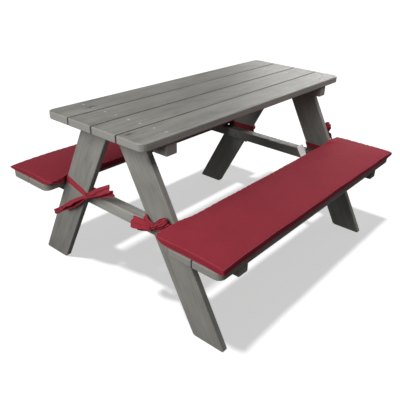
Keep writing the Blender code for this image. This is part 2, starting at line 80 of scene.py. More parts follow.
# Stained wood: its tones from dark to pale, and each pattern's scales along, across and through
# the board, its detail and its roughness
WOOD_TONES = ((0.0, (0.092, 0.089, 0.080)), (0.35, (0.172, 0.168, 0.152)),
              (0.55, (0.236, 0.231, 0.211)), (0.80, (0.300, 0.294, 0.270)))
WORN_WOOD = (0.36, 0.35, 0.32, 1.0)
WOOD_PATTERNS = {
    "uneven": ((6.0, 60.0, 60.0), 2.0, 0.5), "fibre": ((22.0, 900.0, 900.0), 2.0, 0.6),
    "streak": ((3.2, 115.0, 115.0), 3.0, 0.55), "blotch": ((2.6, 11.0, 11.0), 2.0, 0.5),
    "pores": ((30.0, 520.0, 520.0), 1.0, 0.5), "patch": ((14.0, 42.0, 42.0), 3.0, 0.6),
    "dots": ((300.0, 1500.0, 1500.0), 1.0, 0.5),
}
WOOD_SHADE = 0.575
PATTERN_SHADES = {"streak": 0.38, "blotch": 0.55, "patch": 0.40, "fibre": 0.34}
MARK_SHADES = {"late": -0.09, "check": -0.22, "halo": -0.14, "core": -0.36}
WOOD_BUMP = 0.00035
WOOD_IOR = 1.46
RING_SPACING = 0.0046
PITH_WANDER_SCALES = (1.7, 5.0, 5.0)
PITH_WANDER = (0.0, 0.050, 0.034)
WEAR_WIDTH = 0.0042
WEAR_AMOUNT = 0.20
END_GRAIN_DEPTH = 0.0016
SOAKED_DEPTH = 0.050
# Beside the next board: dirt and painted shade between the boards
JOINT_START = 0.0010
JOINT_WIDTH = 0.0034
JOINT_DIRT_AND_PAINTED_SHADE = 0.62
# Each board's tone; the seat beams' tones are painted light, the near beam lighter and the far beam darker
# as light falls on them
BOARD_TONES_AND_PAINTED_LIGHT = {
    "table_board_1": 1.03, "table_board_2": 0.98, "table_board_3": 1.01, "table_board_4": 1.05,
    "left_seat_beam": 1.36, "right_seat_beam": 0.76,
}
BOARD_SEED = 11
LEG_SEED = 40

# Knots, as their place and the radius of their core, and how far they bend the rings
KNOTS = (
    ((-0.4258, -0.1033, 0.51), 0.0055), ((-0.3562, 0.1165, 0.51), 0.0050), ((-0.391, -0.130, 0.443), 0.0060),
)
NO_KNOT = ((9.0, 9.0, 0.0), 0.004)
KNOT_BEND = 0.011

# Cover cloth and ribbons
WEAVE_PITCH = 0.0009
CUSHION_RED = (0.256, 0.0255, 0.0400, 1.0)
CUSHION_DARK_RED = (0.203, 0.0175, 0.0280, 1.0)
RIBBON_RED = (0.340, 0.036, 0.054, 1.0)
# The seams are a paler red: a painted highlight along the seams
SEAM_RED_PAINTED_HIGHLIGHT = (0.330, 0.045, 0.066, 1.0)
CLOTH_ROUGHNESS = 0.88
CLOTH_GLOSS = {
    "Specular_IOR_Level": 0.10, "Sheen_Weight": 0.05, "Sheen_Roughness": 0.40,
    "Sheen_Tint": (1.0, 0.60, 0.63, 1.0),
}
STITCH_SHARE = 0.80
STITCH_PITCH = 0.0032

# Label tape and steel: light and dark tone, and for steel how metallic it is
LABEL_TONES = ((0.95, 0.95, 0.94, 1.0), (0.88, 0.88, 0.87, 1.0))
LABEL_RIBS = 9000.0
STEELS = {
    "zinc_steel": ((0.66, 0.65, 0.62, 1.0), (0.50, 0.49, 0.47, 1.0), 0.30),
    "stained_steel": ((0.150, 0.146, 0.132, 1.0), (0.085, 0.083, 0.075, 1.0), 0.25),
}

# Screws: the head's profile as shares of its radius and heights, then the shank and its thread
HEAD_PROFILE = ((0.0, 0.00012), (0.55, 0.0001), (0.93, 0.0),
                (1.0, -0.00022), (0.97, -0.0005), (0.5, -0.0026))
HEAD_SEGMENTS = 28
SHANK_SHARE = 0.44
SHANK_START = 0.0034
THREAD_START = 0.006
THREAD_MARGIN = 0.012
THREAD_STEP = 0.0022
THREAD_ROOT = 0.86
THREAD_CREST = 1.06
TIP_LENGTH = 0.005
TIP_SHARE = 0.8
RECESS_HALF_WIDTH = 0.00055
RECESS_REACH = 0.0024
RECESS_DEPTH = 0.0016
RECESS_FLOOR_REACH = 0.45
RECESS_FLOOR_WIDTH = 0.7
SCREW_SHARP_ANGLE = radians(32)
SCREW_SEED = 5

# Cushions. For each end of each cushion's edges: how far the base is pinched up there, how far
# the corner is drawn in along the bench, and how far its upper seam sinks
CUSHION_CORNERS = {
    ("front", -1, "inner"): (0.0160, -0.0040, 0.0), ("front", -1, "outer"): (0.0008, -0.0010, 0.0),
    ("front", 1, "inner"): (0.0110, 0.0090, 0.0), ("front", 1, "outer"): (0.0085, 0.0005, 0.0040),
    ("back", -1, "inner"): (0.0160, -0.0040, 0.0), ("back", -1, "outer"): (0.0040, 0.0010, 0.0075),
    ("back", 1, "inner"): (0.0110, 0.0090, 0.0), ("back", 1, "outer"): (0.0050, 0.0, 0.0030),
}
CUSHION_STRIP = 0.0180
CUSHION_OUTER_SINK = {"front": 0.0010, "back": 0.0056}
CUSHION_BASE_RISE = 0.0012
CUSHION_DRAW_IN = 0.004
CUSHION_LEG_RIDGE = 0.0085
CUSHION_RIDGE_REACH = 0.034
CUSHION_CROWN = 0.0028
CUSHION_LEG_CLEARANCE = 0.0012
INNER_SEAM_WANDER = 0.0007
OUTER_SEAM_WANDER = 0.0009
STRIP_WANDER = 0.0004
CUSHION_CELL = 0.0058
STRIP_CELLS = 3
PANEL_CAP = 0.0045
STRIP_CAP = 0.0040
SEAM_RADIUS = 0.0014
SEAM_SIDES = 8
PUCKER_PITCH = 0.021
PUCKER_DEPTH = 0.0008
PUCKER_REACH = 0.010

# A notch: where it starts and reaches its full depth, before the leg's inner face, and where it
# leaves its full depth and ends, past the outer face
NOTCH_BEFORE_LEG = (0.022, 0.004)
NOTCH_PAST_LEG = (0.003, 0.016)

# The filling of the cushions
CLOTH_FRAMES = 20
CLOTH_SETTINGS = {
    "quality": 6, "mass": 0.25, "tension_stiffness": 14.0, "compression_stiffness": 14.0,
    "shear_stiffness": 6.0, "bending_stiffness": 0.4, "use_pressure": True,
    "uniform_pressure_force": 4.0, "vertex_group_mass": "held",
}

# Ribbons
RIBBON_WIDTH = 0.021
RIBBON_THICKNESS = 0.0011
RIBBON_LIFT = 0.0010
RIBBON_CRUMPLE = 0.0016
RIBBON_CUTS = 14
RIBBON_NECK = 0.0090
STEPS_PER_STATION = 5
LOOP_STATIONS = 15
TAIL_STATIONS = 9
LOOP_CUP = 0.0026
TAIL_CUP = 0.0012
STRAND_CUP = 0.0004
GATHER_DEPTH = 0.0030
GATHER_REACH = 0.040
KNOT_RADIUS = 0.0090
KNOT_DEPTH = 0.0070
KNOT_SIDES = 36
KNOT_STEPS = 20

# The outer ribbon's stations, as their share of the way to the knot, their share of the width
# and their distance from the leg's face
STRAND_SEAM_RISE = 0.0145
STRAND_STATIONS = ((0.0, 1.0, 0.0016), (0.18, 1.0, 0.0014), (0.42, 0.95, 0.0013),
                   (0.68, 0.90, 0.0016), (0.88, 0.70, 0.0028), (1.0, 0.5, 0.0052))

# The inner ribbon: its share of the full width, and its clearance over the beam
INNER_STRAND_SHARE = 0.88
INNER_STRAND_CLEARANCE = 0.0006

# Each tie: its knot as (y, z), how far its outer ribbon bows out and up, and the angle of its
# wrap; its loops as (length, angle, width, gap, open angle, lift, sag, taper); its tails as
# (length, angle, width, lift, wave, sag). An angle turns from +Y towards up.
TIES = {
    ("left", "back"): dict(
        knot=(0.1195, 0.266), slack=0.0008, rise=-0.0015, turn=-24,
        loops=((0.121, -32, 0.0265, 0.0066, 44, 0.013, 0.002, 0.3),
               (0.123, 150, 0.0235, 0.0066, -12, 0.0095, 0, 0.1)),
        tails=((0.218, -35.2, 0.0165, 0.0024, 0.0014, -0.0105), (0.124, 157.5, 0.0165, 0.0034, 0.001, 0)),
    ),
    ("left", "front"): dict(
        knot=(-0.146, 0.2765), slack=0.001, rise=0.001, turn=205,
        loops=((0.061, 147, 0.0255, 0.0095, 22, 0.0125, 0, 0.12),
               (0.073, -7, 0.031, 0.01, 30, 0.0135, 0, 0.05)),
        tails=((0.06, -14, 0.019, 0.019, 0.005, 0.006), (0.0385, 22, 0.024, 0.0085, 0.003, 0)),
    ),
    ("right", "front"): dict(
        knot=(-0.129, 0.2665), slack=0.0125, rise=0.028, turn=200,
        loops=((0.103, 124, 0.027, 0.012, 36, 0.014, 0, -0.05),
               (0.098, 215, 0.021, 0.007, 20, 0.01, 0.004, 0.1)),
        tails=((0.062, 226, 0.0175, 0.003, 0.0014, 0.004), (0.046, -68, 0.0175, 0.0036, 0.0014, 0.002)),
    ),
    ("right", "back"): dict(
        knot=(0.129, 0.2665), slack=0.002, rise=0.001, turn=-20,
        loops=((0.104, -36, 0.024, 0.006, 20, 0.009, 0.006, 0.2),
               (0.096, 76, 0.024, 0.007, 24, 0.0095, 0, 0)),
        tails=((0.07, -62, 0.0175, 0.003, 0.0014, 0.002), (0.046, 262, 0.0175, 0.0034, 0.0014, 0.002)),
    ),
}

# Label
LABEL_WIDTH = 0.021
LABEL_HEIGHT = 0.036
LABEL_X = 0.2130
LABEL_SEAM_RISE = 0.0155
LABEL_INSET = 0.0010
LABEL_LEAN = radians(38)
LABEL_TWIST = radians(36)
LABEL_THICKNESS = 0.0003
LABEL_ROWS = 33
LABEL_CUTS = 6

# Stage: each light's kind, its place, what it points at, its strength, and its two sizes or angle
LIGHTS = {
    "key": ("AREA", (-1.52, -0.10, 1.20), (-0.1, 0.0, 0.30), 28.0, (1.4, 0.9)),
    "overhead": ("AREA", (1.12, -0.51, 1.47), (0.0, 0.0, 0.35), 22.0, (0.9, 0.9)),
    "backdrop": ("AREA", (2.9, 0.9, 1.0), (0.3, -0.1, 0.45), 26.5, (1.7, 0.8)),
    "floor_sun": ("SUN", (-0.66, 0.02, 2.0), (0.0, 0.0, 0.0), 1.75, 4.5),
}
WORLD_LIGHT = (0.100, 0.100, 0.100, 1.0)
WHITE = (1.0, 1.0, 1.0, 1.0)
FLOOR_SIZE = 60.0
FLOOR_DROP = 0.0004
FLOOR_GLOW = 0.533
FLOOR_TONE = (0.9, 0.9, 0.9, 1.0)


def leg_middle(height):
    """Distance of a leg's middle line from the table's middle plane, at a height."""
    return FOOT_OFFSET - LEG_SLOPE * height


def leg_inner_edge(height):
    return leg_middle(height) - LEG_LEVEL_WIDTH / 2


def leg_outer_edge(height):
    return leg_middle(height) + LEG_LEVEL_WIDTH / 2


# Materials


class Tree:
    """Short calls that add nodes to one shader tree and link them."""

    def __init__(self, tree):
        self.tree = tree

    def add(self, kind, inputs=None, **settings):
        node = self.tree.nodes.new("ShaderNode" + kind)
        for key, value in settings.items():
            setattr(node, key, value)
        for key, value in (inputs or {}).items():
            self.put(node.inputs[key], value)
        return node

    def put(self, socket, value):
        if isinstance(value, bpy.types.NodeSocket):
            self.tree.links.new(value, socket)
        else:
            socket.default_value = value

    def wire(self, node, **sockets):
        """Link or set inputs of a node, named with _ for each space."""
        for key, value in sockets.items():
            self.put(node.inputs[key.replace("_", " ")], value)

    def math(self, operation, *values, clamp=False):
        node = self.add("Math", dict(enumerate(values)), operation=operation, use_clamp=clamp)
        return node.outputs[0]

    def times(self, first, second):
        return self.math("MULTIPLY", first, second)

    def minus(self, first, second):
        return self.math("SUBTRACT", first, second)

    def plus(self, base, value, amount=1.0, clamp=False):
        """The base, with a share of the value added."""
        return self.math("MULTIPLY_ADD", value, amount, base, clamp=clamp)

    def vary(self, base, value, amount, middle=0.5, clamp=False):
        """The base, moved by how far the value is from its middle."""
        return self.plus(base, self.minus(value, middle), amount, clamp)

    def vector(self, operation, *values):
        node = self.add("VectorMath", dict(enumerate(values)), operation=operation)
        return node.outputs["Value" if operation == "LENGTH" else "Vector"]

    def scaled(self, vector, factor):
        made = self.vector("SCALE", vector)
        self.put(made.node.inputs["Scale"], factor)
        return made

    def axes(self, vector):
        return self.add("SeparateXYZ", {0: vector}).outputs

    def span(self, value, low, high, to_low=0.0, to_high=1.0, smooth=False):
        kind = "SMOOTHSTEP" if smooth else "LINEAR"
        inputs = {0: value, 1: low, 2: high, 3: to_low, 4: to_high}
        return self.add("MapRange", inputs, interpolation_type=kind).outputs[0]

    def fade(self, value, low, high, most=1.0):
        """Smoothly from the most down to 0, between two values."""
        return self.span(value, low, high, most, 0.0, smooth=True)

    def noise(self, place, scale, detail=2.0, roughness=0.5, output="Fac"):
        """Noise of one scale, or of one for each axis."""
        if isinstance(scale, tuple):
            place = self.vector("MULTIPLY", place, scale)
            scale = 1.0
        inputs = {"Vector": place, "Scale": scale, "Detail": detail, "Roughness": roughness}
        return self.add("TexNoise", inputs).outputs[output]

    def mix(self, factor, first, second):
        return self.add("Mix", {0: factor, 6: first, 7: second}, data_type="RGBA").outputs[2]

    def ramp(self, value, stops):
        node = self.add("ValToRGB", {0: value})
        elements = node.color_ramp.elements
        while len(elements) < len(stops):
            elements.new(0.5)
        for element, (place, colour) in zip(elements, stops):
            element.position = place
            element.color = (*colour, 1.0)
        return node.outputs[0]

    def bump(self, height, distance, strength=1.0, **more):
        inputs = {"Height": height, "Distance": distance, "Strength": strength}
        return self.add("Bump", {**inputs, **more}).outputs[0]


def new_material(name, roughness, metallic=0.0, **sockets):
    """A material with its tree of short calls and its Principled shader."""
    material = bpy.data.materials.new(name)
    material.use_nodes = True
    tree = Tree(material.node_tree)
    shader = material.node_tree.nodes["Principled BSDF"]
    tree.wire(shader, Roughness=roughness, Metallic=metallic, **sockets)
    return material, tree, shader


def build_wood_group():
    """Stained softwood in board coordinates: X along the grain, Y across and Z through it."""
    group = bpy.data.node_groups.new("stained_wood", "ShaderNodeTree")
    inputs = dict.fromkeys(("Place", "Half", "Pith", "Seed", "Joints", "Knot"), "Vector")
    inputs.update({"Tone": "Float", "Knot Size": "Float"})
    outputs = {"Colour": "Color", "Roughness": "Float", "Normal": "Vector"}
    for way, sockets in (("INPUT", inputs), ("OUTPUT", outputs)):
        for label, kind in sockets.items():
            group.interface.new_socket(label, in_out=way, socket_type="NodeSocket" + kind)
    tree = Tree(group)
    entry = group.nodes.new("NodeGroupInput").outputs
    leave = group.nodes.new("NodeGroupOutput")
    place, half = entry["Place"], entry["Half"]
    shifted = tree.vector("ADD", place, entry["Seed"])
    pattern = {name: tree.noise(shifted, *values) for name, values in WOOD_PATTERNS.items()}
    streak, fibre = pattern["streak"], pattern["fibre"]

    # Growth rings round a pith that wanders along the board, bent round a knot
    drift = tree.noise(shifted, PITH_WANDER_SCALES, 1.0, output="Color")
    drift = tree.vector("MULTIPLY", tree.vector("SUBTRACT", drift, (0.5, 0.5, 0.5)), PITH_WANDER)
    from_pith = tree.vector("MULTIPLY", tree.vector("SUBTRACT", place, entry["Pith"]), (0.0, 1.0, 1.0))
    radius = tree.vector("LENGTH", tree.vector("ADD", from_pith, drift))
    from_knot = tree.vector("MULTIPLY", tree.vector("SUBTRACT", place, entry["Knot"]), (0.45, 1.0, 0.0))
    to_knot = tree.math("DIVIDE", tree.vector("LENGTH", from_knot), entry["Knot Size"])
    radius = tree.plus(radius, tree.fade(to_knot, 0.6, 3.6, KNOT_BEND))
    ring = tree.plus(tree.math("DIVIDE", radius, RING_SPACING), pattern["uneven"], 0.9)
    phase = tree.math("FRACT", ring)

    # Late wood, fine dark checks and knots darken what fibres, streaks, blotches and patches give
    mark = {
        "late": tree.times(tree.span(phase, 0.35, 0.90, smooth=True), tree.fade(phase, 0.93, 1.0)),
        "check": tree.span(pattern["pores"], 0.70, 0.78, smooth=True),
        "halo": tree.fade(to_knot, 1.0, 2.6),
        "core": tree.fade(to_knot, 0.5, 1.1),
    }
    shade = WOOD_SHADE
    for name, amount in PATTERN_SHADES.items():
        shade = tree.vary(shade, pattern[name], amount)
    for name, amount in MARK_SHADES.items():
        shade = tree.plus(shade, mark[name], amount)
    colour = tree.ramp(shade, WOOD_TONES)

    # Distance from the nearest edge: the second smallest distance from the board's faces
    inset = tree.vector("SUBTRACT", half, tree.vector("ABSOLUTE", place))
    faces = tree.axes(tree.vector("MAXIMUM", inset, (0.0, 0.0, 0.0)))
    least = tree.math("MINIMUM", tree.math("MINIMUM", faces[0], faces[1]), faces[2])
    most = tree.math("MAXIMUM", tree.math("MAXIMUM", faces[0], faces[1]), faces[2])
    total = tree.plus(tree.plus(faces[0], faces[1]), faces[2])
    edge = tree.minus(tree.minus(total, least), most)
    worn = tree.fade(tree.vary(edge, streak, 0.006), 0.0006, WEAR_WIDTH, WEAR_AMOUNT)

    # A joint with the next board is dark, with dirt and painted shade between the boards, and not worn
    side, half_width = tree.axes(place)[1], tree.axes(half)[1]
    beside = tree.axes(entry["Joints"])
    joint_dirt_and_painted_shade = tree.times(tree.fade(tree.plus(half_width, side), JOINT_START, JOINT_WIDTH), beside[0])
    to_high = tree.fade(tree.minus(half_width, side), JOINT_START, JOINT_WIDTH)
    joint_dirt_and_painted_shade = tree.plus(joint_dirt_and_painted_shade, to_high, beside[1])
    worn = tree.times(worn, tree.minus(1.0, joint_dirt_and_painted_shade))
    colour = tree.mix(worn, colour, WORN_WOOD)

    # End grain takes the stain in dots and is painted lighter, as light falls on the end faces, and the
    # first centimetres soak up a little more
    end = tree.fade(faces[0], 0.0002, END_GRAIN_DEPTH)
    end_grain_painted_light = tree.plus(tree.plus(0.52, mark["late"], -0.20), pattern["dots"], 0.42)
    colour = tree.mix(tree.times(end, 0.85), colour, tree.ramp(end_grain_painted_light, WOOD_TONES))
    soaked = tree.fade(tree.plus(faces[0], streak, 0.03), 0.012, SOAKED_DEPTH, 0.10)
    tone_and_painted_light = tree.times(entry["Tone"], tree.minus(1.0, soaked))
    # Dirt and painted shade darken the tone beside the next board
    tone_and_painted_light = tree.times(tone_and_painted_light, tree.plus(1.0, joint_dirt_and_painted_shade, -JOINT_DIRT_AND_PAINTED_SHADE))

    rough = tree.plus(tree.plus(tree.vary(0.52, fibre, 0.22), worn, 0.20), end, 0.15)
    height = tree.plus(tree.times(mark["late"], 0.30), fibre, 0.55)
    height = tree.plus(tree.plus(height, streak, 0.55), mark["check"], -0.70)
    tree.wire(leave, Colour=tree.scaled(colour, tone_and_painted_light), Roughness=rough, Normal=tree.bump(height, WOOD_BUMP))
    return group


def knot_in(centre, half, turn):
    """The knot of a board in its own coordinates and its size, or one far outside it."""
    back = Euler(turn).to_matrix().inverted()
    for point, size in KNOTS:
        place = back @ (Vector(point) - Vector(centre))
        if all(abs(part) <= limit + 0.002 for part, limit in zip(place, half)):
            return place, size
    return NO_KNOT


def wood_material(node, centre, half, turn, seed, tone_and_painted_light=1.0, joints=(0.0, 0.0)):
    """The stained wood of one board, whose grain runs along X once turned back.

    joints says for its low and its high side whether the next board lies close.
    """
    material, tree, shader = new_material("wood_" + node, 0.5, IOR=WOOD_IOR)
    coordinates = tree.add("TexCoord").outputs["Object"]
    inputs = {"Vector": coordinates, "Location": centre, "Rotation": turn}
    place = tree.add("Mapping", inputs, vector_type="TEXTURE").outputs[0]
    random = np.random.default_rng(seed)
    pith = (0.0, random.uniform(-0.045, 0.045), -random.uniform(0.015, 0.055))
    shift = tuple(random.uniform(-20.0, 20.0, 3))
    knot, knot_size = knot_in(centre, half, turn)
    group = tree.add("Group", node_tree=WOOD_GROUP)
    tree.wire(
        group, Place=place, Half=half, Pith=pith, Seed=shift, Tone=tone_and_painted_light,
        Joints=(*joints, 0.0), Knot=knot, Knot_Size=knot_size,
    )
    made = group.outputs
    tree.wire(shader, Base_Color=made["Colour"], Roughness=made["Roughness"], Normal=made["Normal"])
    return material


def dress(node, material):
    """Give a node of the frame its material."""
    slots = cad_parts[node].material_slots
    if slots:
        for slot in slots:
            slot.material = material
    else:
        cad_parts[node].data.materials.append(material)


def dress_boards():
    """Each level board gets its own piece of wood, with its grain along its length."""
    along_x = (0.0, 0.0, 0.0)
    along_y = (0.0, 0.0, pi / 2)
    top_boards = [f"table_board_{index}" for index in (1, 2, 3, 4)]
    boards = [(node, along_x) for node in top_boards]
    boards += [(f"{side}_seat_board_{place}", along_x) for side in SIDES for place in ("inner", "outer")]
    boards += [(f"{end}_{name}", along_y) for end in ENDS for name in ("top_cleat", "seat_beam")]
    top_low = min(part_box(node)[0].y for node in top_boards)
    top_high = max(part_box(node)[1].y for node in top_boards)
    for index, (node, turn) in enumerate(boards):
        low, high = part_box(node)
        if "seat_board" in node:
            low.z = high.z - SEAT_THICKNESS
        size = (high - low) / 2
        if turn == along_y:
            size = Vector((size.y, size.x, size.z))
        joints = (0.0, 0.0)
        if node in top_boards:
            joints = (float(low.y > top_low + 0.01), float(high.y < top_high - 0.01))
        # A seat beam's tone is painted light
        tone_and_painted_light = BOARD_TONES_AND_PAINTED_LIGHT.get(node, 1.0)
        dress(node, wood_material(node, (low + high) / 2, size, turn, BOARD_SEED + index, tone_and_painted_light, joints))


def dress_legs():
    """Each leg gets its own piece of wood, with its grain along the lean."""
    for end_name, end in ENDS.items():
        for side_name, side in SIDES.items():
            node = f"{end_name}_{side_name}_leg"
            grain = Vector((0.0, -side * sin(LEG_LEAN), cos(LEG_LEAN)))
            through = Vector((1.0, 0.0, 0.0))
            turn = Matrix((grain, through.cross(grain), through)).transposed().to_euler()
            centre = (end * LEG_MIDDLE_X, side * leg_middle(LEG_HEAD / 2), LEG_HEAD / 2)
            half = (1.0, LEG_WIDTH / 2, LEG_THICKNESS / 2)
            seed = LEG_SEED + 2 * (end + 1) + (side + 1) // 2
            dress(node, wood_material(node, centre, half, turn, seed))


def weave(tree, coordinates):
    """Height of a plain weave in metres, laid over whichever way the cloth faces."""
    turned = tree.scaled(coordinates["Object"], 2 * pi / WEAVE_PITCH)
    waves = [tree.math("SINE", axis) for axis in tree.axes(turned)]
    weights = tree.axes(tree.vector("ABSOLUTE", coordinates["Normal"]))
    height = 0.0
    for first, second, weight in ((0, 1, 2), (0, 2, 1), (1, 2, 0)):
        height = tree.plus(height, tree.times(waves[first], waves[second]), weights[weight])
    return tree.plus(0.5, height, 0.5)


def fabric_material(name, colour, dark, stitched):
    """Woven cover cloth, with fine slubs, soft creases and on a ribbon its stitched edges, with painted
    shade in their grooves.
    """
    material, tree, shader = new_material(name, CLOTH_ROUGHNESS, **CLOTH_GLOSS)
    coordinates = tree.add("TexCoord").outputs
    place = coordinates["Object"]
    threads = weave(tree, coordinates)
    slub_x = tree.noise(place, (60.0, 1300.0, 1300.0), 1.0)
    slub_y = tree.noise(place, (1300.0, 60.0, 1300.0), 1.0)
    slubs = tree.plus(slub_x, slub_y)
    shade = tree.vary(0.30, slubs, 0.9, middle=1.0)
    shade = tree.vary(shade, threads, -0.30)
    shade = tree.vary(shade, tree.noise(place, 14.0), 0.8, clamp=True)
    blend = tree.mix(shade, colour, dark)
    height = tree.plus(tree.times(threads, 0.5), slubs, 0.25)
    creased = tree.bump(tree.noise(place, 38.0), 0.0012, 0.5)
    if stitched:
        across = tree.add("Attribute", attribute_name="across").outputs["Fac"]
        along = tree.add("Attribute", attribute_name="along").outputs["Fac"]
        line = tree.math("ABSOLUTE", tree.minus(tree.math("ABSOLUTE", across), STITCH_SHARE))
        # The stitched line sinks in a groove, painted darker as shade
        groove_painted_shade = tree.fade(line, 0.0, 0.09)
        beat = tree.math("SINE", tree.times(along, 2 * pi / STITCH_PITCH))
        thread = tree.times(tree.span(line, 0.02, 0.05, 1.0, 0.0), tree.span(beat, -0.4, 0.0))
        blend = tree.mix(tree.times(groove_painted_shade, 0.35), blend, dark)
        blend = tree.mix(tree.times(thread, 0.45), blend, colour)
        height = tree.plus(tree.plus(height, groove_painted_shade, -1.2), thread)
    tree.wire(shader, Base_Color=blend, Normal=tree.bump(height, 0.0002, 0.7, Normal=creased))
    return material


def label_material():
    """White satin tape."""
    material, tree, shader = new_material("label_satin", 0.45, Sheen_Weight=0.15)
    place = tree.add("TexCoord").outputs["Object"]
    ribs = tree.math("SINE", tree.times(tree.axes(place)[2], LABEL_RIBS))
    blend = tree.mix(tree.noise(place, 90.0, 1.0), *LABEL_TONES)
    tree.wire(shader, Base_Color=blend, Normal=tree.bump(ribs, 0.00008, 0.5))
    return material


def steel_material(name):
    """Plated steel, slightly dulled, with a fine grit."""
    light, dark, metallic = STEELS[name]
    material, tree, shader = new_material(name, 0.34, metallic)
    place = tree.add("TexCoord").outputs["Object"]
    cloud = tree.noise(place, 420.0)
    rough = tree.span(cloud, 0.3, 0.7, 0.28, 0.46)
    grit = tree.bump(tree.noise(place, 2600.0, 1.0), 0.00006, 0.6)
    tree.wire(shader, Base_Color=tree.mix(cloud, light, dark), Roughness=rough, Normal=grit)
    return material


# Meshes and pieces


def new_object(name, mesh):
    obj = bpy.data.objects.new(name, mesh)
    bpy.context.scene.collection.objects.link(obj)
    return obj


def mesh_from(name, shape):
    mesh = bpy.data.meshes.new(name)
    shape.to_mesh(mesh)
    shape.free()
    return mesh


def applied(obj):
    """The object with its modifiers applied to its mesh."""
    graph = bpy.context.evaluated_depsgraph_get()
    mesh = bpy.data.meshes.new_from_object(obj.evaluated_get(graph))
    obj.modifiers.clear()
    obj.data = mesh
    return obj


def softened(piece, thickness=None):
    """The piece with its thickness, where it gets one, and its faces divided once."""
    if thickness:
        solid = piece.modifiers.new("Thickness", "SOLIDIFY")
        solid.thickness = thickness
        solid.offset = 0.0
    finer = piece.modifiers.new("Soft", "SUBSURF")
    finer.levels = finer.render_levels = 1
    return applied(piece)


def surface(name, rows, around=False, closed=False):
    """A mesh over rows of points.

    Around joins each row into a ring and closes both ends, or closed joins the last row to the
    first instead.
    """
    shape = bmesh.new()
    grid = [[shape.verts.new(point) for point in row] for row in rows]
    for before, after in zip(grid, grid[1:] + (grid[:1] if closed else [])):
        for index in range(len(before) - (0 if around else 1)):
            following = (index + 1) % len(before)
            shape.faces.new((before[index], after[index], after[following], before[following]))
    if around:
        if not closed:
            shape.faces.new(grid[0])
            shape.faces.new(grid[-1])
        bmesh.ops.recalc_face_normals(shape, faces=shape.faces)
    return mesh_from(name, shape)


def unit(rows):
    """Each row of an array, made 1 long."""
    return rows / np.linalg.norm(rows, axis=1, keepdims=True)


def distances(points):
    """How far along a line of points each of them lies."""
    steps = np.linalg.norm(np.diff(points, axis=0), axis=1)
    return np.concatenate([[0], np.cumsum(steps)])


def add_measures(mesh, crosswise, lengthwise):
    """Store where each vertex lies across a ribbon, from -1 to 1, and along it in metres.

    crosswise has a value for each vertex of a row, and lengthwise one for each row.
    """
    count = len(crosswise)
    places = range(len(mesh.vertices))
    across = [float(crosswise[index % count]) for index in places]
    along = [float(lengthwise[index // count]) for index in places]
    for label, values in (("across", across), ("along", along)):
        mesh.attributes.new(label, "FLOAT", "POINT").data.foreach_set("value", values)


def finish_piece(piece, material, slot, *nodes):
    """Material and body of a piece, and the nodes that it stands for; the slot is not used."""
    piece.data.materials.clear()
    piece.data.materials.append(material)
    piece.data.shade_smooth()
    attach(piece, "root")
    if nodes:
        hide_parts(*nodes)


# Screws


def screw_mesh(radius, length):
    """Countersunk screw along -Z with its head's face at 0, a rolled thread and a cross recess."""
    profile = [(radius * share, height) for share, height in HEAD_PROFILE]
    shank = radius * SHANK_SHARE
    profile.append((shank, -SHANK_START))
    for index in range(int((length - THREAD_MARGIN) / THREAD_STEP)):
        top = -THREAD_START - index * THREAD_STEP
        profile += [(shank * THREAD_ROOT, top), (shank * THREAD_CREST, top - THREAD_STEP / 2)]
    profile += [(shank * TIP_SHARE, TIP_LENGTH - length), (0.0, -length)]
    shape = bmesh.new()
    verts = [shape.verts.new((out, 0.0, z)) for out, z in profile]
    edges = [shape.edges.new(pair) for pair in zip(verts, verts[1:])]
    bmesh.ops.spin(
        shape, geom=verts + edges, cent=(0, 0, 0), axis=(0, 0, 1), angle=-2 * pi,
        steps=HEAD_SEGMENTS, use_merge=True,
    )
    bmesh.ops.remove_doubles(shape, verts=shape.verts, dist=1e-6)
    bmesh.ops.recalc_face_normals(shape, faces=shape.faces)
    screw = new_object("screw_blank", mesh_from("screw_blank", shape))

    cutter_shape = bmesh.new()
    for turn in (0.0, pi / 2):
        made = bmesh.ops.create_cube(cutter_shape, size=2.0)["verts"]
        for vert in made:
            deep = vert.co.z < 0
            vert.co.x *= RECESS_REACH * (RECESS_FLOOR_REACH if deep else 1.0)
            vert.co.y *= RECESS_HALF_WIDTH * (RECESS_FLOOR_WIDTH if deep else 1.0)
            vert.co.z = -RECESS_DEPTH if deep else RECESS_DEPTH
        bmesh.ops.rotate(cutter_shape, verts=made, cent=(0, 0, 0), matrix=Matrix.Rotation(turn, 3, "Z"))
    cutter = new_object("recess", mesh_from("recess", cutter_shape))
    cut = screw.modifiers.new("Recess", "BOOLEAN")
    cut.operation = "DIFFERENCE"
    cut.solver = "EXACT"
    cut.use_self = True
    cut.object = cutter
    mesh = applied(screw).data
    mesh.shade_smooth()
    mesh.set_sharp_from_angle(angle=SCREW_SHARP_ANGLE)
    bpy.data.objects.remove(screw, do_unlink=True)
    bpy.data.objects.remove(cutter, do_unlink=True)
    return mesh


def build_screws(bright, stained):
    """A fine screw in the place of each plain one, each recess turned as it was driven."""
    meshes = {}
    random = np.random.default_rng(SCREW_SEED)
    for node in sorted(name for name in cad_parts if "_screw_" in name):
        low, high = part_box(node)
        size = high - low
        middle = (low + high) / 2
        upright = size.z > size.x
        kind = "upright" if upright else "level"
        if kind not in meshes:
            meshes[kind] = screw_mesh(size.y / 2, max(size.x, size.z))
            meshes[kind].name = kind + "_screw"
            meshes[kind].materials.append(bright if upright else stained)
        piece = new_object("fine_" + node, meshes[kind])
        spin = Matrix.Rotation(random.uniform(0, pi), 4, "Z")
        if upright:
            piece.matrix_world = Matrix.Translation((middle.x, middle.y, high.z)) @ spin
        else:
            end = 1 if middle.x > 0 else -1
            head_x = low.x if end > 0 else high.x
            turn = Matrix.Rotation(-end * pi / 2, 4, "Y")
            piece.matrix_world = Matrix.Translation((head_x, middle.y, middle.z)) @ turn @ spin
        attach(piece, "root")
        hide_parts(node)


# Cushions


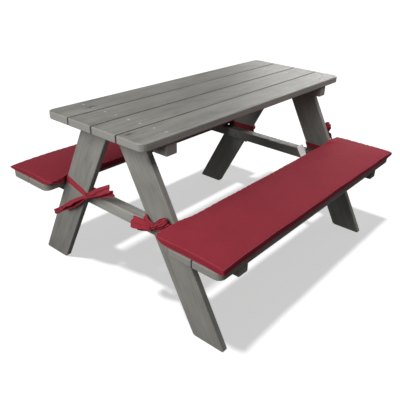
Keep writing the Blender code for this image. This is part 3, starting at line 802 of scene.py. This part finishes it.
def smooth_step(value, low, high):
    share = min(max((value - low) / (high - low), 0.0), 1.0)
    return share * share * (3 - 2 * share)


def wobble(place, seed):
    """Smooth seeded unevenness between about -1 and 1 along a seam."""
    return (sin(place * 17.0 + seed) + sin(place * 41.0 + 2.3 * seed)) / 2


class CushionPlan:
    """The space of one cushion on its bench, with the places of its seams."""

    def __init__(self, side_name):
        low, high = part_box(f"{side_name}_cushion")
        self.name = side_name
        self.side = SIDES[side_name]
        self.half = high.x
        self.inner, self.outer = sorted((abs(low.y), abs(high.y)))
        self.bottom = low.z
        self.seed = 1.7 + self.side

    def edges(self, x, z):
        """Distances from the table's middle plane of both long edges, at a place and a height."""
        along = abs(x) / self.half
        draw = CUSHION_DRAW_IN * (1 - along ** 4)
        near = self.inner + draw + INNER_SEAM_WANDER * wobble(x, self.seed)
        far = self.outer - draw + OUTER_SEAM_WANDER * wobble(x, self.seed + 3)
        before, at = (LEG_INNER_FACE - distance for distance in NOTCH_BEFORE_LEG)
        past, beyond = (LEG_OUTER_FACE + distance for distance in NOTCH_PAST_LEG)
        by_leg = smooth_step(abs(x), before, at) * (1 - smooth_step(abs(x), past, beyond))
        notch = leg_outer_edge(z) + CUSHION_LEG_CLEARANCE
        return near + max(0.0, notch - near) * by_leg, far

    def strip(self, x, across):
        """Height of the side strip, which is squeezed up where the cover meets a leg."""
        squeeze = exp(-((abs(x) - LEG_MIDDLE_X) / CUSHION_RIDGE_REACH) ** 2) * ((1 - across) / 2) ** 9
        slope = CUSHION_OUTER_SINK[self.name] * ((1 + across) / 2) ** 3
        unevenness = STRIP_WANDER * wobble(x + 3 * across, self.seed + 5)
        return CUSHION_STRIP + CUSHION_LEG_RIDGE * squeeze - slope + unevenness

    def point(self, along, across, level):
        """Place on the pad: along and across from -1 to 1, level from the base to the upper panel."""
        x = self.half * along
        end = 1 if along > 0 else -1
        lift, drawn, sink = CUSHION_CORNERS[self.name, end, "outer" if across > 0 else "inner"]
        rise = lift * abs(along) ** 16 * abs(across) ** 5
        rise += CUSHION_BASE_RISE * max(abs(along), abs(across)) ** 20
        z = self.bottom + rise * (1 - level) + self.strip(x, across) * level
        z -= sink * level * abs(along) ** 10 * abs(across) ** 4
        near, far = self.edges(x, z)
        y = near + (far - near) * (across + 1) / 2
        if level == 1:
            z += CUSHION_CROWN * (1 - abs(along) ** 10) * (1 - across ** 4)
        pull = CUSHION_DRAW_IN * (1 - across ** 2) + drawn * across ** 4
        x -= copysign(pull * abs(along) ** 9, x)
        return Vector((x, self.side * y, z))

    def keep_clear(self, point):
        """Hold a point off the leg that it passes."""
        if LEG_INNER_FACE - NOTCH_BEFORE_LEG[1] < abs(point.x) < LEG_OUTER_FACE + NOTCH_PAST_LEG[0]:
            reach = leg_outer_edge(point.z) + CUSHION_LEG_CLEARANCE
            point.y = self.side * max(abs(point.y), reach)


def cushion_shell(plan):
    """Boxed pad before it is filled: its mesh, its two seams and how far each point may move."""
    across_cells = round((plan.outer - plan.inner) / CUSHION_CELL)
    along_cells = round(2 * plan.half / CUSHION_CELL)
    shape = bmesh.new()
    grid = {}
    caps = []
    for column in range(along_cells + 1):
        for row in range(across_cells + 1):
            rim = column in (0, along_cells) or row in (0, across_cells)
            for layer in range(STRIP_CELLS + 1):
                if not (rim or layer in (0, STRIP_CELLS)):
                    continue
                place = (2 * column / along_cells - 1, 2 * row / across_cells - 1, layer / STRIP_CELLS)
                grid[column, row, layer] = shape.verts.new(plan.point(*place))
                if layer == 0 or (rim and layer == STRIP_CELLS):
                    caps.append(0.0)
                else:
                    caps.append(STRIP_CAP if rim else PANEL_CAP)

    def face(*keys):
        shape.faces.new([grid[key] for key in keys])

    for column in range(along_cells):
        for row in range(across_cells):
            for layer in (0, STRIP_CELLS):
                face((column, row, layer), (column + 1, row, layer),
                     (column + 1, row + 1, layer), (column, row + 1, layer))
    around = [(column, 0) for column in range(along_cells)]
    around += [(along_cells, row) for row in range(across_cells)]
    around += [(column, across_cells) for column in range(along_cells, 0, -1)]
    around += [(0, row) for row in range(across_cells, 0, -1)]
    for before, after in zip(around, around[1:] + around[:1]):
        for layer in range(STRIP_CELLS):
            face((*before, layer), (*after, layer), (*after, layer + 1), (*before, layer + 1))
    bmesh.ops.recalc_face_normals(shape, faces=shape.faces)
    shape.verts.index_update()
    seams = {
        "upper": [grid[(*place, STRIP_CELLS)].index for place in around],
        "lower": [grid[(*place, 0)].index for place in around],
    }
    name = f"{plan.name}_seat_cushion"
    return new_object(name, mesh_from(name, shape)), seams, np.array(caps)


def inflate(piece, caps):
    """Fill the pad by cloth simulation between its seams; no point moves further than its cap."""
    start = np.array([vert.co for vert in piece.data.vertices])
    held = piece.vertex_groups.new(name="held")
    held.add([int(index) for index in np.flatnonzero(caps == 0.0)], 1.0, "REPLACE")
    cloth = piece.modifiers.new("Cloth", "CLOTH")
    for key, value in CLOTH_SETTINGS.items():
        setattr(cloth.settings, key, value)
    cloth.settings.effector_weights.gravity = 0.0
    cloth.point_cache.frame_start = 1
    cloth.point_cache.frame_end = CLOTH_FRAMES
    for number in range(1, CLOTH_FRAMES + 1):
        bpy.context.scene.frame_set(number)
    applied(piece)
    bpy.context.scene.frame_set(1)
    move = np.array([vert.co for vert in piece.data.vertices]) - start
    length = np.linalg.norm(move, axis=1, keepdims=True)
    move *= np.minimum(1.0, caps[:, None] / np.maximum(length, 1e-9))
    piece.data.vertices.foreach_set("co", (start + move).astype(np.float32).ravel())
    piece.data.update()


def pucker(piece, plan):
    """Add small gathers that run in from the seams, and keep the cover off the legs."""
    for vert in piece.data.vertices:
        near, far = plan.edges(vert.co.x, vert.co.z)
        to_side = min(abs(vert.co.y) - near, far - abs(vert.co.y))
        to_end = plan.half - abs(vert.co.x)
        place = vert.co.x if to_side < to_end else vert.co.y
        fade = exp(-max(min(to_side, to_end), 0.0) / PUCKER_REACH)
        wave = sin(2 * pi * place / PUCKER_PITCH + 2.5 * wobble(place, plan.seed))
        if vert.co.z > plan.bottom + CUSHION_STRIP / 2:
            vert.co.z += PUCKER_DEPTH * fade * wave
        plan.keep_clear(vert.co)


def sweep(name, line, radius):
    """Closed round line with lengthwise and crosswise measures for its stitches."""
    points = np.array(line)
    ahead = unit(np.roll(points, -1, 0) - np.roll(points, 1, 0))
    outward = unit(np.cross(ahead, (0.0, 0.0, 1.0)))
    upward = np.cross(outward, ahead)
    turns = np.linspace(0, 2 * pi, SEAM_SIDES, endpoint=False)
    rings = []
    for point, out, up in zip(points, outward, upward):
        rings.append([point + radius * (cos(turn) * out + sin(turn) * up) for turn in turns])
    mesh = surface(name, rings, around=True, closed=True)
    add_measures(mesh, np.cos(turns), distances(points))
    return new_object(name, mesh)


def build_cushion(side_name, cloth, seam_cloth):
    """A filled cushion with its two seams."""
    plan = CushionPlan(side_name)
    piece, seams, caps = cushion_shell(plan)
    inflate(piece, caps)
    pucker(piece, plan)
    softened(piece)
    finish_piece(piece, cloth, "cushion_fabric", f"{side_name}_cushion")
    for label, ring in seams.items():
        line = [piece.data.vertices[index].co.copy() for index in ring]
        seam = sweep(f"{side_name}_cushion_{label}_seam", line, SEAM_RADIUS)
        finish_piece(seam, seam_cloth, "cushion_fabric")


# Ribbons


def spline(points):
    """Points on a smooth curve through the rows of an array."""
    points = np.array(points, float)
    padded = np.vstack([2 * points[0] - points[1], points, 2 * points[-1] - points[-2]])
    made = []
    for index in range(1, len(padded) - 2):
        a, b, c, d = padded[index - 1:index + 3]
        for t in np.arange(STEPS_PER_STATION) / STEPS_PER_STATION:
            made.append(0.5 * (
                2 * b + (c - a) * t + (2 * a - 5 * b + 4 * c - d) * t ** 2 + (3 * b - a - 3 * c + d) * t ** 3
            ))
    made.append(points[-1])
    return np.array(made)


def ribbon(name, stations, end, seed, gathers, crumple):
    """Soft ribbon through stations, as (out, y, z, its across direction, width, cup).

    out is the distance from the leg's outer face. gathers are the places, as shares of the
    length, where it is drawn together in pleats. It keeps soft lengthwise folds all along.
    """
    rows = spline(stations)
    places = np.stack([end * (LEG_OUTER_FACE + rows[:, 0]), rows[:, 1], rows[:, 2]], 1)
    across = np.stack([end * rows[:, 3], rows[:, 4], rows[:, 5]], 1)
    along = unit(np.gradient(places, axis=0))
    across = unit(across - along * (across * along).sum(1, keepdims=True))
    facing = np.cross(along, across)
    travelled = distances(places)
    cuts = [2 * cut / RIBBON_CUTS - 1 for cut in range(RIBBON_CUTS + 1)]
    lines = []
    for index, distance in enumerate(travelled):
        width, cup = rows[index, 6], rows[index, 7]
        near = sum(exp(-abs(distance - where * travelled[-1]) / GATHER_REACH) for where in gathers)
        sway = 0.9 * sin(distance / 0.017 + seed) + 0.5 * sin(distance / 0.007 + 2 * seed)
        line = []
        for t in cuts:
            lift = cup * (t * t - 0.4)
            lift += GATHER_DEPTH * near * cos(3.4 * pi * t + seed)
            fold = sin(3.4 * t + sway) + 0.50 * sin(8.0 * t + 1.6 * sway)
            lift += crumple * fold * min(1.0, width / RIBBON_WIDTH)
            line.append(places[index] + across[index] * (t * width / 2) + facing[index] * lift)
        lines.append(line)
    mesh = surface(name, lines)
    add_measures(mesh, cuts, travelled)
    piece = softened(new_object(name, mesh), RIBBON_THICKNESS)
    return piece, float(travelled[-1])


def directions(angle):
    """The (y, z) directions ahead and aside, at an angle turned from +Y towards up."""
    turn = radians(angle)
    return np.array((cos(turn), sin(turn))), np.array((-sin(turn), cos(turn)))


def opened(width, share):
    """Width of a ribbon that opens from the knot's grip, at a share of the way."""
    return RIBBON_NECK + (width - RIBBON_NECK) * min(1.0, share) ** 0.7


def loop_path(knot, length, angle, width, gap, open_angle, lift, sag, taper):
    """A bow's loop: out from the knot, round its end and back.

    Its two layers part by the gap on either side of its line: off the leg at an open angle of
    0, and along the leg's face at 90, where the ribbon stands on its edge. The taper narrows
    its end.
    """
    ahead, aside = directions(angle)
    opening = radians(open_angle)
    stations = []
    for theta in np.linspace(0.05, pi - 0.05, LOOP_STATIONS):
        reach = sin(theta) ** 2
        part = gap * sin(2 * theta) * (0.35 + 0.65 * sin(theta))
        wide = opened(width, reach * 1.5) * (1 - taper * smooth_step(reach, 0.45, 1.0))
        stand = RIBBON_LIFT + abs(sin(opening)) * wide / 2
        out = max(lift + part * cos(opening), stand)
        y, z = knot + ahead * length * reach + aside * part * sin(opening)
        roll = opening + 0.22 * sin(2 * theta)
        across = (-sin(roll), *(aside * cos(roll)))
        cup = LOOP_CUP * reach * (1 if theta < pi / 2 else -1)
        stations.append((out, y, z - sag * reach ** 2, *across, wide, cup))
    return stations


def tail_path(knot, length, angle, width, lift, wave, sag):
    """A loose end: from under the knot along the leg's face and beyond, waving a little."""
    ahead, aside = directions(angle)
    stations = []
    for share in np.linspace(0.03, 1.0, TAIL_STATIONS):
        out = lift + wave * sin(share * 5.0) * share
        y, z = knot + ahead * length * share
        wide = opened(width, share * length / 0.045)
        across = (0.30 * sin(share * 3.0), *aside)
        stations.append((out, y, z - sag * share ** 2, *across, wide, TAIL_CUP * share))
    return stations


def outer_strand(knot, side, slack, rise):
    """The ribbon from the cushion's seam over the leg's outer face to the knot."""
    seam_z = SEAT_TOP + STRAND_SEAM_RISE
    seam_y = side * (leg_outer_edge(seam_z) + CUSHION_LEG_CLEARANCE)
    way = Vector((knot[0] - seam_y, knot[1] - seam_z)).normalized()
    aside = Vector((-way.y, way.x)) * (1 if way.x > 0 else -1)
    lean = Vector((-side * sin(LEG_LEAN), cos(LEG_LEAN)))
    stations = []
    for share, wide, out in STRAND_STATIONS:
        bow = 6.75 * share * (1 - share) ** 2
        y = seam_y + (knot[0] - seam_y) * share
        z = seam_z + (knot[1] - seam_z) * share + rise * bow
        across = lean.lerp(aside, min(1.0, share * 4))
        stations.append((out + slack * bow, y, z, 0.0, *across, RIBBON_WIDTH * wide, STRAND_CUP))
    return stations


def inner_strand(knot, side):
    """The other ribbon: from the knot round the leg's inner edge and along its inner face."""
    width = RIBBON_WIDTH * INNER_STRAND_SHARE
    height = knot[1]
    low = BEAM_TOP + INNER_STRAND_CLEARANCE + width / 2
    lean = (-side * sin(LEG_LEAN), cos(LEG_LEAN))
    stations = [(0.0048, *knot, 0.0, *lean, width * 0.55, 0.0)]

    # Round the edge, as (out, share of the way down, gap in lifts)
    for out, share, gap in (
        (0.5 * RIBBON_LIFT, 0.0, 0.8), (-0.004, 0.2, 1.4), (-LEG_THICKNESS / 2, 0.5, 1.2),
        (0.004 - LEG_THICKNESS, 0.8, 1.4), (-LEG_THICKNESS - 0.6 * RIBBON_LIFT, 1.0, 0.6),
    ):
        z = height + (low - height) * share
        y = side * (leg_inner_edge(z) - gap * RIBBON_LIFT)
        stations.append((out, y, z, 0.0, *lean, width, 0.0))

    def on_inner_face(y, z, tilt, upright, wide):
        return (-LEG_THICKNESS - RIBBON_LIFT, y, z, 0.0, -side * tilt, upright, width * wide, 0.0)

    near = side * leg_inner_edge(low)
    reach = side * LEG_LEVEL_WIDTH
    under_seat = SEAT_TOP - 0.0006
    end_y = side * (leg_outer_edge(SEAT_TOP) + 0.006)
    stations += [on_inner_face(near + reach * share, low, 0.0, 1.0, 1.0) for share in (0.12, 0.35, 0.6)]
    stations.append(on_inner_face(near + reach * 0.80, low + 0.001, 0.35, 0.9, 0.9))
    stations.append(on_inner_face(end_y - side * 0.008, (low + under_seat) / 2 + 0.003, 0.9, 0.45, 0.6))
    stations.append(on_inner_face(end_y, under_seat, 1.0, 0.05, 0.5))
    return stations


def build_knot(name, knot, angle, end):
    """The knot's wrap: a tight band of folds round the gathered ribbons."""
    ahead, aside = directions(angle)
    rings = []
    for step in range(KNOT_STEPS + 1):
        s = 2 * step / KNOT_STEPS - 1
        swell = max(0.55 * sqrt(max(0.0, 1 - abs(s) ** 3.2)) + 0.45 * (1 - s * s), 0.22)
        ring = []
        for part in range(KNOT_SIDES):
            phi = 2 * pi * part / KNOT_SIDES
            crease = 1 + 0.10 * cos(3.0 * pi * s + 1.3 * sin(phi))
            crease += 0.05 * sin(2 * phi + s)
            high = KNOT_RADIUS * swell * crease * sin(phi)
            deep = KNOT_DEPTH * swell * crease * cos(phi)
            length = KNOT_RADIUS * s * (1 + 0.10 * cos(phi))
            x = end * (LEG_OUTER_FACE + max(deep + KNOT_DEPTH + 0.0009, 0.0012))
            ring.append((x, *(knot + ahead * length + aside * high)))
        rings.append(ring)
    return softened(new_object(name, surface(name, rings, around=True)))


def build_tie(end_name, side_name, cloth):
    """Two ribbons round a leg, tied in a bow on its outer face."""
    end, side = ENDS[end_name], SIDES[side_name]
    tie = TIES[end_name, side_name]
    node = f"{end_name}_{side_name}_tie"
    knot = tie["knot"]
    paths = {
        "outer_strand": (outer_strand(knot, side, tie["slack"], tie["rise"]), (1.0,), RIBBON_WIDTH),
        "inner_strand": (inner_strand(knot, side), (0.0,), RIBBON_WIDTH),
    }
    for index, loop in enumerate(tie["loops"]):
        paths[f"loop_{index + 1}"] = (loop_path(knot, *loop), (0.0, 1.0), loop[2])
    for index, tail in enumerate(tie["tails"]):
        paths[f"tail_{index + 1}"] = (tail_path(knot, *tail), (0.0,), tail[2])
    for seed, (label, (stations, gathers, width)) in enumerate(paths.items()):
        crumple = 0.0 if label == "inner_strand" else RIBBON_CRUMPLE
        piece, length = ribbon(f"{node}_{label}", stations, end, seed + 2 * end + side, gathers, crumple)
        finish_piece(piece, cloth, "tie_ribbon", node)
    wrap = build_knot(node + "_knot", knot, tie["turn"], end)
    finish_piece(wrap, cloth, "tie_ribbon", node)


def build_label(satin):
    """Folded label sewn in the front cushion's inner seam, leaning back over the seam."""
    root_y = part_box("front_cushion")[1].y - LABEL_INSET
    root_z = SEAT_TOP + LABEL_SEAM_RISE
    lean_sin, lean_cos = sin(LABEL_LEAN), cos(LABEL_LEAN)
    upward = Vector((0.0, lean_sin, lean_cos))
    rows = []
    for theta in np.linspace(0.0, 2 * pi, LABEL_ROWS):
        rise = (1 - cos(theta)) / 2
        twist = LABEL_TWIST * (0.7 + 0.3 * rise)
        wide = Vector((cos(twist), -sin(twist) * lean_cos, sin(twist) * lean_sin))
        facing = wide.cross(upward).normalized()
        bulge = 0.0024 * sin(theta) * (0.3 + 0.7 * rise) + 0.0035 * rise * rise
        line = []
        for cut in range(LABEL_CUTS + 1):
            t = 2 * cut / LABEL_CUTS - 1
            point = Vector((LABEL_X + 0.004 * rise, root_y, root_z)) + wide * (t * LABEL_WIDTH / 2)
            point += upward * (LABEL_HEIGHT * rise) + facing * (bulge + 0.0014 * t * t * rise)
            line.append(point)
        rows.append(line)
    piece = softened(new_object("cushion_label", surface("cushion_label", rows)), LABEL_THICKNESS)
    finish_piece(piece, satin, "cushion_fabric")


# Stage


def build_camera():
    """The camera of the photograph, from its angles, lens and image centre."""
    data = bpy.data.cameras.new("photo_camera")
    data.sensor_width = SENSOR_WIDTH
    data.lens = FOCAL_PIXELS / IMAGE_SIZE * SENSOR_WIDTH
    data.shift_x = 0.5 - IMAGE_CENTRE[0] / IMAGE_SIZE
    data.shift_y = IMAGE_CENTRE[1] / IMAGE_SIZE - 0.5
    camera = new_object("photo_camera", data)
    heading = Matrix.Rotation(CAMERA_YAW - pi / 2, 4, "Z")
    tilt = Matrix.Rotation(pi / 2 - CAMERA_PITCH, 4, "X")
    roll = Matrix.Rotation(CAMERA_ROLL, 4, "Z")
    camera.matrix_world = Matrix.Translation(CAMERA_PLACE) @ heading @ tilt @ roll
    bpy.context.scene.camera = camera


def build_floor():
    """Pale floor that keeps a light shadow, and is clear from below."""
    shape = bmesh.new()
    bmesh.ops.create_grid(shape, x_segments=1, y_segments=1, size=FLOOR_SIZE / 2)
    floor = new_object("floor", mesh_from("floor", shape))
    floor.location.z = -FLOOR_DROP
    material, tree, shader = new_material(
        "pale_floor", 1.0, Base_Color=FLOOR_TONE, Specular_IOR_Level=0.0,
        Emission_Color=WHITE, Emission_Strength=FLOOR_GLOW,
    )
    clear = tree.add("BsdfTransparent").outputs[0]
    below = tree.add("NewGeometry").outputs["Backfacing"]
    sided = tree.add("MixShader", {0: below, 1: shader.outputs[0], 2: clear}).outputs[0]
    tree.wire(material.node_tree.nodes["Material Output"], Surface=sided)
    floor.data.materials.append(material)
    floor.visible_diffuse = False
    floor.visible_glossy = False
    return floor


def build_lights(floor):
    """Key from the left, light from above the far right, pale backdrop, and the floor's own sun."""
    for name, (kind, place, target, strength, size) in LIGHTS.items():
        data = bpy.data.lights.new(name, kind)
        data.energy = strength
        if kind == "SUN":
            data.angle = radians(size)
        else:
            data.shape = "RECTANGLE"
            data.size, data.size_y = size
        light = new_object(name, data)
        light.location = place
        light.rotation_euler = (Vector(target) - Vector(place)).to_track_quat("-Z", "Y").to_euler()
        receivers = bpy.data.collections.new(name + "_receivers")
        receivers.objects.link(floor)
        state = "INCLUDE" if kind == "SUN" else "EXCLUDE"
        receivers.collection_objects[0].light_linking.link_state = state
        light.light_linking.receiver_collection = receivers


def build_world():
    """Soft grey light from all round, in front of a white background, and plain colours."""
    scene = bpy.context.scene
    world = scene.world = bpy.data.worlds.new("studio")
    world.use_nodes = True
    tree = Tree(world.node_tree)
    shade = tree.mix(tree.add("LightPath").outputs["Is Camera Ray"], WORLD_LIGHT, WHITE)
    tree.wire(world.node_tree.nodes["Background"], Color=shade, Strength=1.0)
    view = scene.view_settings
    view.view_transform = "Standard"
    view.look = "None"
    view.exposure = 0.0
    view.gamma = 1.0


WOOD_GROUP = build_wood_group()
dress_boards()
dress_legs()
cushion_cloth = fabric_material("cushion_cloth", CUSHION_RED, CUSHION_DARK_RED, False)
ribbon_cloth = fabric_material("ribbon_cloth", RIBBON_RED, CUSHION_DARK_RED, True)
seam_cloth = fabric_material("seam_cloth", SEAM_RED_PAINTED_HIGHLIGHT, CUSHION_RED, True)
build_screws(steel_material("zinc_steel"), steel_material("stained_steel"))
for bench in SIDES:
    build_cushion(bench, cushion_cloth, seam_cloth)
for tie_end, tie_side in TIES:
    build_tie(tie_end, tie_side, ribbon_cloth)
build_label(label_material())
build_camera()
build_lights(build_floor())
build_world()
